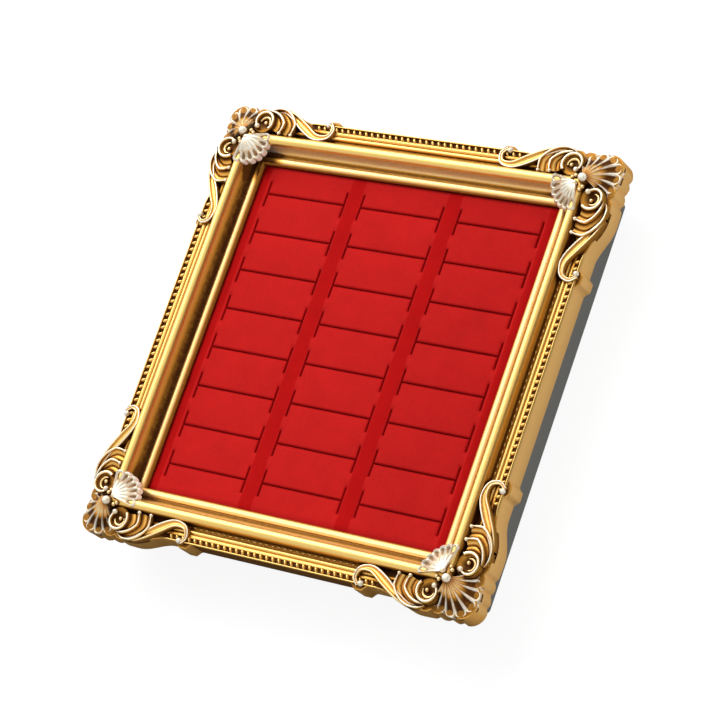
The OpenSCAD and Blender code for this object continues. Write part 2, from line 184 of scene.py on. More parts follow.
def ribbon(path, half, section, floor):
    """A raised strip carried along a path of points at its top height. section(half) gives, for
    each station, points across the strip as (offset across, drop below the top, patina, worn),
    and the strip's sides run straight down to the floor. Its two ends are flat."""
    step = np.gradient(path[:, :2], axis=0)
    step /= np.linalg.norm(step, axis=1, keepdims=True)
    side = np.stack([-step[:, 1], step[:, 0]], 1)
    across, drop, patina, worn = section(half)
    n, k = across.shape
    xy = path[:, None, :2] + side[:, None, :] * across[..., None]
    top = np.concatenate([xy, (path[:, 2:3] - drop)[..., None]], 2)
    rim = [np.concatenate([xy[:, i], np.full((n, 1), floor)], 1)[:, None] for i in (0, -1)]
    ring = np.concatenate([rim[0], top, rim[1]], 1)
    values = [np.concatenate([np.full((n, 1), at_foot), v, np.full((n, 1), at_foot)], 1)
              for v, at_foot in ((patina, 1.0), (worn, 0.0))]
    m = k + 2
    ends = []
    for row in (0, n - 1):
        first = row * m
        i = np.arange(1, m // 2)
        cap = np.stack([first + i - 1, first + i, first + m - 1 - i, first + m - i], 1)
        ends.append(cap if row else cap[:, ::-1])
        middle = [first + m // 2 - 1, first + m // 2, first + m // 2 + 1]
        if m % 2:
            ends.append(np.array([middle + [middle[0]]]))
    quads = np.concatenate([grid_quads(n, m, close_cols=True)] + [e for e in ends if len(e)])
    folded = quads[:, 0] == quads[:, 3]
    return facing_out(shell(ring, quads[~folded], quads[folded][:, :3],
                            patina=values[0], worn=values[1]))


def in_scene(name, data):
    """A new object with that data, in the scene's collection."""
    obj = bpy.data.objects.new(name, data)
    bpy.context.collection.objects.link(obj)
    return obj


def to_object(name, shells, material, body="root", crease=38.0):
    """Joins shells into one mesh in metres, with their finish as point attributes. Corners
    sharper than crease degrees stay sharp in the shading."""
    starts = np.cumsum([0] + [len(s["points"]) for s in shells])
    points = np.concatenate([s["points"] for s in shells])
    points = (points + [0, 0, FACE]) * MM
    points = np.clip(points, np.array(cad_low), np.array(cad_high))
    quads = np.concatenate([s["quads"] + o for s, o in zip(shells, starts)])
    tris = np.concatenate([s["tris"] + o for s, o in zip(shells, starts)])
    corners = np.concatenate([quads.ravel(), tris.ravel()])
    mesh = bpy.data.meshes.new(name)
    mesh.vertices.add(len(points))
    mesh.vertices.foreach_set("co", points.ravel())
    mesh.loops.add(len(corners))
    mesh.loops.foreach_set("vertex_index", corners.astype(np.int32))
    mesh.polygons.add(len(quads) + len(tris))
    counts = np.concatenate([np.full(len(quads), 4), np.full(len(tris), 3)])
    mesh.polygons.foreach_set("loop_start", (np.cumsum(counts) - counts).astype(np.int32))
    mesh.polygons.foreach_set("use_smooth", np.ones(len(counts), bool))
    mesh.update(calc_edges=True)
    mesh.validate()
    for i, label in enumerate(("patina", "worn", "matte")):
        values = np.concatenate([s["finish"][i] for s in shells]).astype(np.float32)
        mesh.attributes.new(label, "FLOAT", "POINT").data.foreach_set("value", values)
    mesh.set_sharp_from_angle(angle=np.radians(crease))
    mesh.materials.append(material)
    obj = in_scene(name, mesh)
    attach(obj, body)
    print(name, len(shells), "shells,", 2 * len(quads) + len(tris), "triangles")
    return obj


# %% [markdown]
# ## Gilding
# The real finish is gold paint on cast resin, rubbed with brown wax and then wiped. Wax stays
# in the hollows, the highest edges are wiped back to a silvery metal, and the outer walls stay
# dull. Light is painted into the same marks: dark values add painted shade and the silvery
# crests a painted highlight. One material does all of it: the point values say where wax, shade
# and wear go, ambient occlusion adds wax and painted shade wherever two forms meet, and noise
# breaks both up.

# %% Material helpers


def new_material(name):
    """A node material, its tree and its main shader."""
    material = bpy.data.materials.new(name)
    material.use_nodes = True
    tree = material.node_tree
    return material, tree, tree.nodes["Principled BSDF"]


def feed(tree, node, values):
    """Sets a node's inputs by name or number. Each value is a socket to link or a plain value."""
    for label, value in values.items():
        socket = node.inputs[label]
        if isinstance(value, bpy.types.NodeSocket):
            tree.links.new(value, socket)
        else:
            socket.default_value = (*value, 1) if socket.type == "RGBA" else value


def new_node(tree, kind, values=None, output=0, **settings):
    """Adds a shader node of that kind, and returns one of its outputs."""
    node = tree.nodes.new("ShaderNode" + kind)
    for name, value in settings.items():
        setattr(node, name, value)
    feed(tree, node, values or {})
    return node.outputs[output]


def maths(operation):
    """A function that adds one Math node to the tree of its inputs. Each of its two inputs is a
    socket or a number, and clamp keeps the result between 0 and 1."""
    def node(first, second, clamp=False):
        tree = next(v.id_data for v in (first, second) if isinstance(v, bpy.types.NodeSocket))
        values = {0: first, 1: second}
        return new_node(tree, "Math", values, operation=operation, use_clamp=clamp)
    return node


plus, minus, times, larger = map(maths, ("ADD", "SUBTRACT", "MULTIPLY", "MAXIMUM"))


def value_of(tree, label):
    """The mesh's own point attribute of that name, as a number."""
    return new_node(tree, "Attribute", output="Fac", attribute_name=label)


def blend_of(tree, factor, first, second):
    """A colour that goes from first to second as factor goes from 0 to 1."""
    return new_node(tree, "Mix", {0: factor, 6: first, 7: second}, 2, data_type="RGBA")


def shade_of(tree, colour, brightness):
    """The colour times a brightness."""
    return new_node(tree, "HueSaturation", {"Value": brightness, "Color": colour})


def grain_of(tree, scale, detail=3.0, rough=0.55, stretch=(1, 1, 1)):
    """Noise on Object coordinates, with scale in cycles a metre, from 0 to 1."""
    place = new_node(tree, "TexCoord", output="Object")
    place = new_node(tree, "Mapping", {"Vector": place, "Scale": stretch})
    values = {"Vector": place, "Scale": scale, "Detail": detail, "Roughness": rough}
    return new_node(tree, "TexNoise", values, "Fac")


def bump_of(tree, height, strength, depth):
    """A bump of that depth in metres, for the shader's Normal."""
    return new_node(tree, "Bump", {"Height": height, "Strength": strength, "Distance": depth})


# %% Gilding colours, wax and painted shade
GOLD = (0.84, 0.55, 0.15)
AMBER = (0.70, 0.32, 0.042)
WAX_AND_SHADE = (0.09, 0.028, 0.005)
RUBBED_SILVER_AND_HIGHLIGHT = (0.96, 0.92, 0.80)
DULL_GOLD = (0.76, 0.44, 0.15)
HOLLOW_REACH = 4 * MM
HOLLOW_FROM, HOLLOW_GAIN = 0.32, 2.2
gilding, tree, shine = new_material("gilded_resin")
mottle = grain_of(tree, 420, detail=4)
speck = grain_of(tree, 2600, detail=2)
# Ambient occlusion darkens where forms meet: wax in the joins, and also painted shade.
open_part = new_node(tree, "AmbientOcclusion", {"Distance": HOLLOW_REACH}, "AO", samples=8)
closed = minus(1.0, open_part)
closed = times(minus(closed, HOLLOW_FROM), HOLLOW_GAIN, clamp=True)
patchy = times(minus(mottle, 0.5), 0.32)
wax_and_shade = plus(value_of(tree, "patina"), closed)
wax_and_shade = times(wax_and_shade, plus(patchy, 1.0), clamp=True)
thin_wax_and_shade = times(wax_and_shade, 2.0, clamp=True)
thick_wax_and_shade = minus(times(wax_and_shade, 2.0), 1.0, clamp=True)

# %% [markdown]
# Thin wax and light painted shade turn the gold amber and a little rougher. Thick wax and deep
# painted shade are dark brown and no longer look like metal, and neither do dull gold and the
# rubbed edges that carry a painted highlight, as far as they go. Bare gold keeps a thin coat of
# varnish.

# %% Gilding shader
dull = value_of(tree, "matte")
uneven = plus(times(mottle, 1.6), 0.1)
# Rubbed crests turn pale silver: wear, and also a painted highlight.
rubbed_and_highlight = times(value_of(tree, "worn"), uneven, clamp=True)
rubbed_and_highlight = times(rubbed_and_highlight, minus(1.0, closed), clamp=True)
leaf = blend_of(tree, dull, GOLD, DULL_GOLD)
leaf = blend_of(tree, thin_wax_and_shade, leaf, AMBER)
leaf = blend_of(tree, thick_wax_and_shade, leaf, WAX_AND_SHADE)
leaf = blend_of(tree, rubbed_and_highlight, leaf, RUBBED_SILVER_AND_HIGHLIGHT)
leaf = shade_of(tree, leaf, plus(times(speck, 0.5), 0.75))
rough = plus(times(dull, 0.18), 0.36)
rough = plus(rough, times(thin_wax_and_shade, 0.16))
rough = plus(rough, times(patchy, 0.12))
metal = minus(0.9, times(dull, 0.65))
metal = minus(metal, times(rubbed_and_highlight, 0.6))
metal = minus(metal, times(thick_wax_and_shade, 0.75), clamp=True)
gloss = minus(0.5, times(larger(dull, thick_wax_and_shade), 0.42))
bare = minus(1.0, plus(dull, thin_wax_and_shade), clamp=True)
feed(tree, shine, {
    "Base Color": leaf, "Roughness": rough, "Metallic": metal, "Specular IOR Level": gloss,
    "Specular Tint": (1.0, 0.82, 0.55), "Coat Weight": times(bare, 0.5),
    "Coat Roughness": 0.3, "Normal": bump_of(tree, speck, 0.3, 0.08 * MM),
})

# %% [markdown]
# ## Rails
# A frame's rails are one moulding, mitred at the corners. Here its profile is a list of points
# measured outwards from the opening and up from the velvet: lip, cove, large round moulding,
# groove, fillet, rope channel, thin outer rim and wall. The whole profile is carried round the
# four corners at once. The leaf on a hand-finished moulding is never quite true, so the rails
# waver by a few hundredths of a millimetre.

# %% Rail sizes
LIP_W, LIP_TOP, LIP_FOOT, LIP_FLOOR = 4.9, 3.3, 1.0, 1.8
TORUS_AT, TORUS_R, TORUS_TOP = 12.6, 3.1, 12.2
GROOVE_W, FILLET_W, FILLET_TOP, CHANNEL = 2.9, 2.8, 6.8, 4.9
EDGE_TOP, EDGE_W, ROPE_SINK = 7.9, 0.9, 2.1
STRAND_PITCH, STRAND_LEAN, STRAND_H = 4.1, 26.0, 2.4
FIT_GAP = 0.3
LIP_CREST = LIP_W * 0.6
COVE_X = LIP_W + 0.3
TORUS_MID = TORUS_TOP - TORUS_R
TORUS_IN, TORUS_OUT = TORUS_AT - TORUS_R, TORUS_AT + TORUS_R
FILLET_AT = TORUS_OUT + GROOVE_W + FILLET_W / 2
CHANNEL_AT = TORUS_OUT + GROOVE_W + FILLET_W
ROPE_FLOOR = EDGE_TOP - ROPE_SINK
ROPE_AT = (CHANNEL_AT + RAIL_W) / 2 + 0.4

# %% Rail profile


def arc(middle, radius, start, stop, count):
    """Points on an arc from start to stop degrees, with radius as (across, up)."""
    f = np.radians(np.linspace(start, stop, count))
    return np.stack([middle[0] + radius[0] * np.cos(f), middle[1] + radius[1] * np.sin(f)], 1)


def fade(count, places, values):
    """count values, evenly spaced from the first place to the last and linear between places."""
    return np.interp(np.linspace(places[0], places[-1], count), places, values)


def rail_profile():
    """The moulding's outline as (outwards, up), with its wax at each point, which on the lip's
    inner face and the round moulding's outer flank is also painted shade. The lip curls over the
    velvet, the cove is a quarter ellipse that rises to the large round moulding, and the fillet is
    a narrow round between the groove and the rope's channel."""
    f = np.radians(np.linspace(90, 0, 9))
    lip = np.stack([LIP_CREST * (1 - np.sin(f) ** 0.75),
                    LIP_FOOT + (LIP_TOP - LIP_FOOT) * np.cos(f)], 1)
    lip_back = arc((LIP_CREST, LIP_FLOOR), (LIP_W - LIP_CREST, LIP_TOP - LIP_FLOOR), 75, 0, 6)
    f = np.radians(np.linspace(0, 90, 22))
    cove = np.stack([COVE_X + (TORUS_IN - COVE_X) * np.sin(f),
                     TORUS_MID - (TORUS_MID - LIP_FLOOR) * np.cos(f)], 1)
    torus = arc((TORUS_AT, TORUS_MID), (TORUS_R, TORUS_R), 170, 4, 22)
    groove = [[TORUS_OUT + 0.1, CHANNEL + 0.6], [TORUS_OUT + 0.5, CHANNEL],
              [TORUS_OUT + GROOVE_W - 0.1, CHANNEL]]
    fillet_foot = CHANNEL + 0.2
    fillet = arc((FILLET_AT, fillet_foot), (FILLET_W / 2, FILLET_TOP - fillet_foot), 180, 30, 11)
    bank = [[CHANNEL_AT - 0.1, ROPE_FLOOR + 0.5], [CHANNEL_AT + 0.7, ROPE_FLOOR + 0.9],
            [CHANNEL_AT + 1.6, ROPE_FLOOR + 1.1], [CHANNEL_AT + 2.1, ROPE_FLOOR + 0.9]]
    channel = [[CHANNEL_AT + 2.4, ROPE_FLOOR + 0.3], [RAIL_W - EDGE_W - 0.2, ROPE_FLOOR + 0.3]]
    rim = [[RAIL_W - EDGE_W, ROPE_FLOOR + 0.6], [RAIL_W - EDGE_W + 0.2, EDGE_TOP - 0.6]]
    rim_top = arc((RAIL_W - 0.35, EDGE_TOP - 0.55), (0.35, 0.35), 160, 0, 7)
    wall = [[RAIL_W, 5.0], [RAIL_W, 1.0], [RAIL_W, -DROP + 0.3], [RAIL_W - 0.3, -DROP]]
    inner_wall = [[CUSHION_LAP + FIT_GAP, -DROP], [CUSHION_LAP + FIT_GAP, FIT_GAP]]
    rows = [
        ([[0, FIT_GAP]], 0.8),
        # painted shade on the lip's inner face, with wax
        (lip, fade(9, [0, 0.5, 0.85, 1], [0.8, 0.7, 0.3, 0])),
        (lip_back, np.linspace(0, 0.5, 6)),
        (cove, fade(22, [0, 0.08, 0.22, 0.34, 0.45, 0.8, 1], [0.6, 0.85, 0.8, 0.4, 0.08, 0, 0.1])),
        # painted shade on the round moulding's outer flank, with wax
        (torus, fade(22, [0, 0.7, 1], [0, 0, 0.6])),
        (groove, [0.75, 0.62, 0.65]),
        (fillet, fade(11, [-1, -0.6, 0, 1], [0.5, 0.1, 0, 0])),
        (bank, [0.3, 0.18, 0.1, 0.3]),
        (channel, 1.0),
        (rim, [0.7, 0.2]),
        (rim_top, 0.0),
        (wall, 0.0),
        (inner_wall, 0.6),
    ]
    line = np.concatenate([np.asarray(p, float) for p, _ in rows])
    wax_and_shade = np.concatenate([np.broadcast_to(np.asarray(w, float), (len(p),)) for p, w in rows])
    return line, wax_and_shade


line, line_wax_and_shade = rail_profile()
out_at, up_at = line[:, 0], line[:, 1]
print("rail profile", len(line), "points")

# %% Rails carried round the opening
STATIONS = 90
WAVER = 0.012
signs = np.array([[1, 1], [-1, 1], [-1, -1], [1, -1]])
corner_points = signs[:, None, :] * (opening + line[None, :, :1])
along = np.linspace(0, 1, STATIONS, endpoint=False)[None, :, None, None]
plan = corner_points[:, None] * (1 - along) + np.roll(corner_points, -1, axis=0)[:, None] * along
plan = plan.reshape(-1, len(line), 2)
rail_x, rail_y = plan[..., 0], plan[..., 1]
height = np.broadcast_to(up_at, rail_x.shape).copy()
ride_up = (out_at > 0.2) & (out_at < RAIL_W - 1.5) & (up_at > FIT_GAP + 0.5)
waver = np.sin(rail_x * 0.71 + 1.3) * np.sin(rail_y * 0.53 + 0.4) + np.sin(plan.sum(-1) * 0.33)
height += np.where(ride_up, WAVER * waver, 0)
from_corner = np.maximum(outer[0] - np.abs(rail_x), outer[1] - np.abs(rail_y))
rope_part = (out_at > CHANNEL_AT - 0.1) & (up_at > CHANNEL)
rope_height = CHANNEL + (height - CHANNEL) * smooth((from_corner - 50) / 6)
height = np.where(rope_part, rope_height, height)

# %% [markdown]
# The four rails aren't finished alike, and much of it is painted light and shade. The left
# rail's cove and the near outer wall are darkened as painted shade, the far rail's cove is
# lightened above its foot as painted light, the right and near rails' upper coves are paled a
# little too, a painted shadow of the shell lies round the upper left corner, and painted shade
# darkens the groove and rope channel near the carvings. The coves are less shiny than the
# mouldings, and the outer walls are quite dull.

# %% Wax, wear, dull gold, and painted light and shade on the rails
on_wall = (out_at > RAIL_W - 0.05) & (up_at < EDGE_TOP - 1.0)
lip_or_cove = up_at > LIP_FLOOR - 0.1
in_cove = lip_or_cove & (out_at > LIP_W) & (out_at < TORUS_IN + 0.3) & (up_at < TORUS_MID)
high_cove = in_cove & (up_at > 3.0)
on_lip = lip_or_cove & (out_at > LIP_CREST * 0.35) & (out_at < LIP_W + 0.1)
behind_torus = (out_at > TORUS_OUT - 0.8) & (out_at < RAIL_W - 1)
far_left, near_side = rail_x < -opening[0] - LIP_W, rail_y < -opening[1] - LIP_W
far_side = rail_y > opening[1] + LIP_W
# Painted shade behind the round moulding near each corner carving.
carving_shade = 0.4 * smooth((CARVE_L - 6 - from_corner) / 10) * behind_torus
# Painted shade: the left rail's cove, facing away from the light, and the near outer wall.
left_cove_shade = 0.88 * bump_at(up_at, 4.2, 5.6) - 0.25 * (up_at < 2.4)
painted_rail_shade = np.where(in_cove & (rail_x < -opening[0]), left_cove_shade, 0)
painted_rail_shade += np.where(on_wall & (rail_y < 1 - outer[1]), 0.9, 0)
# Painted shadow of the shell on the rails, strongest on the upper left.
upper_left = (rail_x < 0) & (rail_y > 0)
shell_shadow = np.where(upper_left, 0.85 * (in_cove | on_lip), 0.3 * in_cove)
shell_shadow = shell_shadow * smooth((41 - from_corner) / 10)
wax_and_shade = np.clip(line_wax_and_shade + carving_shade + painted_rail_shade + shell_shadow, 0, 1)
# Painted light: the far rail's upper cove loses some wax.
wax_and_shade = wax_and_shade - np.where(high_cove & far_side, 0.3, 0) * (1 - shell_shadow)
# The lip's pale crest is wear and also a painted highlight.
worn = np.clip(np.where(on_lip, 0.14, 0) - shell_shadow, 0, 1)
# Painted light: the upper coves but the left one are paled, the far one most.
worn = worn + np.where(high_cove & ~far_left, np.where(far_side, 0.3, 0.2), 0)
# Painted light: the far cove's foot and the near rail's upper cove are less dull, so lighter gold.
far_cove_brightening = 0.65 * (1 - smooth((up_at - 3.5) / 2))
matte = np.where(on_wall, 1.0, 0.0) + np.where(in_cove, 0.65, 0)
matte = matte - np.where(high_cove & near_side, 0.5, 0) - np.where(in_cove & far_side, far_cove_brightening, 0)
rails = shell(np.concatenate([plan, height[..., None]], -1),
              grid_quads(len(plan), len(line), close_cols=True, close_rows=True),
              patina=wax_and_shade, worn=worn, matte=matte)
pieces = [to_object("frame_rails", [facing_out(rails)], gilding, crease=50)]

# %% [markdown]
# ## Rope edge
# Between the corner carvings the outer channel holds a rope: plump strands that lean over, each
# touching the next at its middle, so that a small dark pit stays at either end of every gap.
# The groove beside the large round moulding holds a row of low, long beads at the same pitch.
# Strands and beads are both halves of a stretched ball.

# %% Strands
ROPE_FROM, BEADS_FROM = 55, 60


def mound(radius, rise, sides, rings):
    """A half round on a short foot: radius times cos and rise times sin of the same angle."""
    f = np.radians(np.linspace(90, 0, rings + 1))
    r = np.concatenate([radius * np.cos(f), [radius * 0.98, 0]])
    h = np.concatenate([rise * np.sin(f), [-0.6, -0.6]])
    wax_at = np.interp(h / rise, [0, 0.25, 0.5], [0.9, 0.4, 0.0])
    r[0] = 0
    return turned(r, h, sides, patina=wax_at)


def rope(form, from_opening, base, start):
    """The form at even steps along all four rails, between the places start from each outer
    corner. Each rail is the first one turned, so the rope keeps its hand all the way round."""
    rows = []
    for side in range(4):
        across, length = (opening[1], outer[0]) if side % 2 == 0 else (opening[0], outer[1])
        count = int((2 * length - 2 * start) // STRAND_PITCH)
        places = (np.arange(count) - (count - 1) / 2) * STRAND_PITCH
        for x in places:
            at = placed(form, move=(x, across + from_opening, base))
            rows.append(placed(at, turn=-90.0 * side))
    return rows


strand = placed(mound(1.0, STRAND_H, 18, 6), scale=(1.15, 2.5, 1), turn=STRAND_LEAN)
low_bead = placed(mound(0.5, 0.5, 10, 3), scale=(2.6, 1, 1))
strands = rope(strand, ROPE_AT, ROPE_FLOOR - 0.5, ROPE_FROM)
beads = rope(low_bead, TORUS_OUT + GROOVE_W * 0.5, CHANNEL, BEADS_FROM)
pieces.append(to_object("rope_strands", strands, gilding, crease=70))
pieces.append(to_object("groove_beads", beads, gilding, crease=70))

# %% [markdown]
# ## Corner carving: ground and outer wall
# The carving widens the rail at each corner, so the outer wall swells out under it in soft
# lobes with a crease between each two. The swell is a cosine bump along the rail, held at its
# full width towards the corner, and the creases are narrow notches in it. A small lug stands
# out under the hook at the arm's end.

# %% Ground of the carving
SWELL, SWELL_AT, SWELL_REACH = 6.0, 31, 24
CORNER_SWELL = SWELL * 0.95
LUG_AT, LUG_HALF = 67.5, 6


def notch(a, middle, depth):
    """1, less a V-shaped notch 2.6 mm wide to each side."""
    return 1 - depth * np.clip(1 - np.abs(a - middle) / 2.6, 0, 1) ** 1.4


def wall_swell(a):
    """How far the wall stands out from the straight line at distance a along the rail."""
    near = CORNER_SWELL * notch(a, 5.2, 0.22)
    creases = notch(a, 12.5, 0.25) * notch(a, 20, 0.3)
    mid = SWELL * (0.9 + 0.1 * bump_at(a, SWELL_AT, 19)) * creases
    lug = 0.5 * SWELL * np.minimum(1, 1.6 * bump_at(a, LUG_AT, LUG_HALF))
    far = np.maximum(SWELL * bump_at(a, SWELL_AT, SWELL_REACH), lug)
    return np.maximum(np.where(a < 9, near, np.where(a < SWELL_AT, mid, far)), 0.12)


def ground_edge():
    """The swollen outline from the far end of one arm, round the corner, to the other."""
    a = np.linspace(CARVE_L, 3.0, 110)
    first = np.stack([a, -wall_swell(a)], 1)
    f = np.radians(np.linspace(2, 88, 18))
    r = CORNER_SWELL + 3
    turn = np.stack([3 - r * np.sin(f), 3 - r * np.cos(f)], 1)
    return np.concatenate([first, turn, first[::-1, ::-1]])


def carving_ground():
    """The outline drawn inwards in steps: down the wall, over a rounded edge, then across."""
    edge = ground_edge()
    half_line = np.array([[CARVE_L, 1.2], [52, 4.5], [30, 8.5]])
    inner_line = np.concatenate([half_line, [[16, 16]], half_line[::-1, ::-1]])
    at = np.linspace(0, 1, len(edge))
    knots = np.linspace(0, 1, len(inner_line))
    inner = np.stack([np.interp(at, knots, inner_line[:, i]) for i in (0, 1)], 1)
    toward = inner - edge
    toward /= np.linalg.norm(toward, axis=1, keepdims=True)
    top = CHANNEL + 0.9
    steps = [(0.3, -DROP), (0, -DROP + 0.3), (0, 1.0), (0, top - 1.0),
             (0.1, top - 0.55), (0.35, top - 0.2), (0.8, top)]
    rows = [(edge + toward * d, h) for d, h in steps] + [(inner, top), (inner, -DROP)]
    grid = np.stack([np.concatenate([xy, np.full((len(edge), 1), h)], 1) for xy, h in rows], 1)
    n, m = grid.shape[:2]
    ends = []
    for row in (0, n - 1):
        ring = row * m + np.arange(m)
        fan = np.stack([np.full(m - 2, ring[0]), ring[1:-1], ring[2:]], 1)
        ends.append(fan if row else fan[:, ::-1])
    wax_at = np.broadcast_to([0, 0, 0, 0, 0.05, 0.3, 0.8, 0.9, 0.5], (n, m))
    flat = np.broadcast_to([1, 1, 1, 1, 0.6, 0, 0, 0, 1.0], (n, m))
    return facing_out(shell(grid, grid_quads(n, m, close_cols=True), np.concatenate(ends),
                            patina=wax_at, matte=flat))


# %% [markdown]
# ## Corner carving: palmette, shell and pearl
# Both fans are one idea: a height over polar coordinates. The outer palmette has spoon-shaped
# hollows between ridges that widen and turn pale towards their tips, and it falls away from the
# pearl to the outer corner; it is pale near the pearl and dark in its outer hollows. The inner
# shell is pale all over but for deep dark flutes, and it droops over the rail's mitre towards
# the velvet. On both, the pale is wear and also painted highlight, and the dark is wax and also
# painted shade.

# %% Fans
CARVE_FLOOR = CHANNEL - 2
PEARL_AT, HINGE_AT = 12.5, 15.5
PALMETTE_HALF, PALMETTE_FLUTES, PALMETTE_TOP, PALMETTE_FALL = 86.0, 8, 13.6, 8
SHELL_HALF, SHELL_RIBS, SHELL_R, SHELL_TOP, SHELL_DROOP = 58.0, 7, 16.4, 14.6, 4.4
HOLLOW = 2.2
FAN_R = 1.5
LOBE_STEPS = 18


def polar(middle, r, degrees, z):
    """Points at radius r from the middle, that many degrees round, at height z."""
    f = np.radians(degrees)
    return np.stack([middle[0] + r * np.cos(f), middle[1] + r * np.sin(f), z], -1)


def fan_grid(q_end, q_count, half, lobes):
    """Grids of q, the place along the fan, t, the angle across it, and u, the place across one
    lobe from -1 to 1."""
    q = np.linspace(0, q_end, q_count)
    t = np.linspace(-half, half, lobes * LOBE_STEPS + 1)
    q, t = np.meshgrid(q, t, indexing="ij")
    s = (t + half) * lobes / (2 * half)
    return q, t, 2 * (s - np.floor(np.minimum(s, lobes - 0.001))) - 1


def palmette():
    """Height PALMETTE_TOP - PALMETTE_FALL q^1.7, less a hollow (1 - u^2) that closes again at
    the tip, where q runs from the pearl to the tip."""
    q, t, u = fan_grid(1.06, 34, PALMETTE_HALF, PALMETTE_FLUTES)
    reach = (16 + 5.2 * np.cos(np.radians(t)) ** 4) * (1 - 0.1 * np.abs(u) ** 3)
    inside = np.minimum(q, 1)
    spoon = np.sqrt(inside) * (1 - smooth((inside - 0.86) / 0.13)) * (1 - u * u)
    r = FAN_R + (reach - FAN_R) * (inside + (q - inside) * 0.6)
    rounded = smooth((q - 1) / 0.06)
    z = PALMETTE_TOP - PALMETTE_FALL * inside ** 1.7 - HOLLOW * 1.3 * spoon - 1.6 * rounded
    top = polar((PEARL_AT, PEARL_AT), r, 225 + t * (0.8 + 0.2 * inside ** 2), z)
    # Pale ridges, tips and root are wear and also painted highlight; the dark in the outer hollows
    # and at the rounded end is wax and also painted shade.
    ridge = smooth((np.abs(u) - 0.78 + 0.22 * inside) / 0.16) * smooth((q - 0.1) / 0.3)
    tip = smooth((q - 0.93) / 0.04) * (1 - smooth((q - 1.0) / 0.05))
    root = (1 - smooth((q - 0.2) / 0.3)) * (1 - ridge)
    dark = smooth((spoon - 0.1) / 0.4) * smooth((q - 0.3) / 0.3) + smooth((q - 1.0) / 0.05)
    return block_under(top, floor=CARVE_FLOOR, patina=np.clip(dark, 0, 1),
                       worn=np.clip(np.maximum(ridge, tip), 0, 1) * 0.9 + 0.3 * root)


def scallop():
    """Height SHELL_TOP - SHELL_DROOP cos^2(1.1 t) q^2, less a hollow (1 - u^2) that is deepest
    near the rounded rim and closes at it, between two sharp ribs."""
    q, t, u = fan_grid(1, 30, SHELL_HALF, SHELL_RIBS)
    r = FAN_R + (SHELL_R * (1 - 0.09 * np.abs(u) ** 3) - FAN_R) * q
    flute = (1 - u * u) * smooth((q - 0.05) / 0.75) * (1 - smooth((q - 0.82) / 0.13))
    roll = np.clip((q - 0.93) / 0.07, 0, 1) ** 2
    droop = SHELL_DROOP * np.cos(np.radians(t * 1.1)) ** 2 * q * q
    z = SHELL_TOP - droop - HOLLOW * 0.9 * flute - 0.9 * roll
    top = polar((HINGE_AT, HINGE_AT), r, 45 + t, z)
    # Dark flutes are wax and also painted shade; the pale elsewhere is wear and also painted
    # highlight.
    dark = 0.85 * smooth((flute - 0.46) / 0.4) * smooth((q - 0.28) / 0.35)
    return block_under(top, thick=2.4, patina=dark, worn=1 - dark)


# %% Pearls and knobs
BALL_ROWS = 13


def ball(radius, at, worn, wax_and_shade):
    """A sphere at a place: radius times cos and sin of the same angle. The third argument is the
    pale wear at the top, which is also a painted highlight, how many rows have it, and the value
    below them. The fourth is how many rows are clean and then the rows' values of wax and painted
    shade, of which the last goes on to the foot, so the ball darkens towards its foot."""
    f = np.radians(np.linspace(90, -90, BALL_ROWS))
    r = radius * np.cos(f)
    r[[0, -1]] = 0
    rubbed_and_highlight, rows, below = worn
    clean, *values = wax_and_shade
    values = [0] * clean + values + values[-1:] * (BALL_ROWS - clean - len(values))
    wear = [rubbed_and_highlight] * rows + [below] * (BALL_ROWS - rows)
    return placed(turned(r, radius * np.sin(f), 20, worn=wear, patina=values), move=at)


def pearls():
    """The pearl on its stem, the smaller bead over the shell's hinge, and four knots."""
    stem = turned([0, 3.0, 2.7, 3.4, 4.6, 0], [12.6, 12.6, 11, 8, CARVE_FLOOR, CARVE_FLOOR], 24,
                  patina=[0.9, 0.8, 0.7, 0.8, 1, 1])
    return [placed(stem, move=(PEARL_AT, PEARL_AT, 0)),
            ball(2.5, (PEARL_AT, PEARL_AT, 13.7), (1.0, 8, 0.3), (8, 1)),
            ball(1.7, (16.2, 16.2, 13.4), (0.7, 7, 0), (7, 1)),
            *[ball(1.25, (x, y, 12.2), (0.3, 5, 0), (6, 0.8, 1))
              for x, y in ((17.4, 11.4), (11.4, 17.4), (19.2, 12.6), (12.6, 19.2))]]


# %% [markdown]
# ## Corner carving: volute, bands and S-shaped arm
# Beside the fans each rail has a volute with two crescent bands wrapped round it, and an
# S-shaped arm that runs out along the rail and curls back into a hook. The volute's ring and
# the rims of the bands are plain half rounds, silvery on their crests as wear and also as a
# painted highlight. The arm has a half round at each edge and a concave channel between. Each
# row of ARM is a station on its middle line: its place along the rail and out from it, its
# height and its half width.

# %% Strips
VOLUTE_AT = np.array([22.5, 4.4])
VOLUTE_R, VOLUTE_H = 7.3, 11.8
BAND_REACH, BAND_GROW, BAND_H = (0, 7, 14.2), (1, 1.7, 1.05), (11.8, 11.4, 10.4)
BAND_START, BAND_TURN = -82.0, 114.0
ARM_RIM, ARM_DEPTH = 0.62, 0.9
ARM = np.array([
    [25, -4.2, 6.2, 0.9],
    [33, -4.6, 7.4, 1.4],
    [41, -1.6, 8.8, 2.2],
    [51, 4.6, 9.8, 2.8],
    [60, 9.2, 10, 2.2],
    [67.4, 8.2, 9.6, 1.5],
    [69.6, 3.2, 8.8, 1.2],
    [66.8, -0.8, 8.2, 1.0],
])


def half_round(half):
    """A plain round top: across = half times cos, drop = half (1 - sin), silvery on its crest as
    wear and also as a painted highlight.
    """
    f = np.linspace(np.pi, 0, 11)[None]
    h = half[:, None]
    crest = np.broadcast_to(np.sin(f), (len(half), 11))
    drop = np.minimum(h, 1.3) * (1 - np.sin(f))
    return h * np.cos(f), drop, 0.6 * (1 - smooth(crest / 0.6)), smooth((crest - 0.76) / 0.2)


